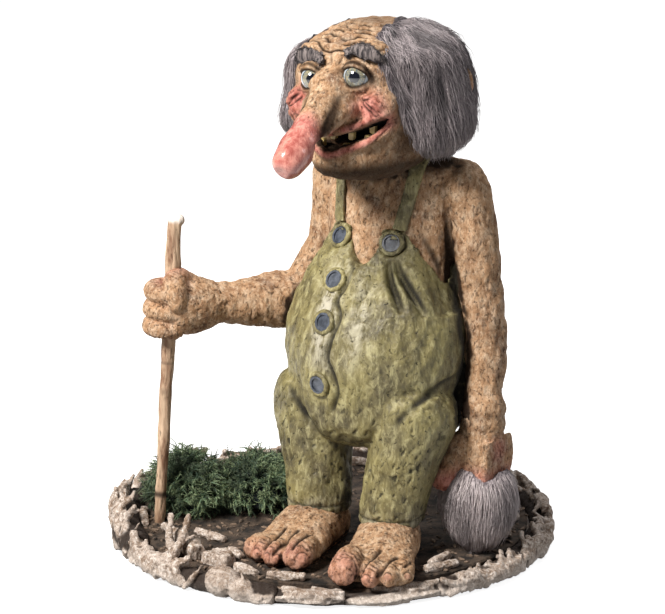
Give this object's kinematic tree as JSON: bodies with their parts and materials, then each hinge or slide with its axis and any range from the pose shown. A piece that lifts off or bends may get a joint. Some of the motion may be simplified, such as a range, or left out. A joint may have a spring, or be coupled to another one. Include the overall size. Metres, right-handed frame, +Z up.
{
  "type": "troll figure",
  "caption": "Long-nosed Norwegian troll ornament with grey fur hair and dungarees on a round driftwood base, its fist closed round a lift-out walking staff.",
  "frame": {"origin": "centre of the base's flat underside", "axes": "+Z up, the figure faces -Y, so its left hand is on the +X side and the staff on the -X side"},
  "size_m": [0.2485, 0.2466, 0.296],
  "materials": {
    "felt": "matte",
    "plinth_wood": "satin",
    "soil": "matte",
    "stone": "matte",
    "driftwood": "matte",
    "juniper": "matte",
    "steel_rod": "satin",
    "dowel": "matte",
    "skin": "satin",
    "cloth": "matte",
    "button": "gloss",
    "glass_eye": "gloss",
    "teeth": "satin",
    "hair": "matte",
    "brow_fur": "matte",
    "twig": "matte"
  },
  "bodies": {
    "figure": {"felt_underlay": "felt", "wooden_plinth": "plinth_wood", "ground_bed": "soil", "left_bark_root": "driftwood", "left_rim_root": "driftwood", "rim_stone": "stone", "front_slab_left": "driftwood", "front_slab_right": "driftwood", "right_front_bark": "driftwood", "right_rim_bark": "driftwood", "back_right_bark": "driftwood", "back_right_root": "driftwood", "back_rim_bark": "driftwood", "back_left_root": "driftwood", "back_left_bark": "driftwood", "forked_root": "driftwood", "wedge_slab": "driftwood", "front_sticks": "driftwood", "left_sticks": "driftwood", "right_sticks": "driftwood", "back_sticks": "driftwood", "leaning_bark": "driftwood", "juniper_front": "juniper", "juniper_back": "juniper", "left_leg_rod": "steel_rod", "right_leg_rod": "steel_rod", "neck_dowel": "dowel", "left_foot": "skin", "right_foot": "skin", "left_trouser_leg": "cloth", "right_trouser_leg": "cloth", "dungarees_belly": "cloth", "torso": "skin", "left_arm": "skin", "left_hand": "skin", "right_arm": "skin", "right_hand": "skin", "tail": "skin", "tail_tuft": "hair", "left_strap": "cloth", "right_strap": "cloth", "fly_buttons": "button", "strap_buttons": "button", "head": "skin", "left_glass_eye": "glass_eye", "right_glass_eye": "glass_eye", "upper_teeth": "teeth", "lower_teeth": "teeth", "left_ear": "skin", "right_ear": "skin", "left_eyebrow": "brow_fur", "right_eyebrow": "brow_fur", "back_hair": "hair", "left_tress": "hair", "right_tress": "hair"},
    "staff": {"walking_staff": "twig"}
  },
  "joints": [
    {"name": "staff_lift", "type": "slide", "parent": "figure", "child": "staff", "axis": [0.0519, 0.0349, 0.998], "range_m": [0, 0.145]}
  ]
}
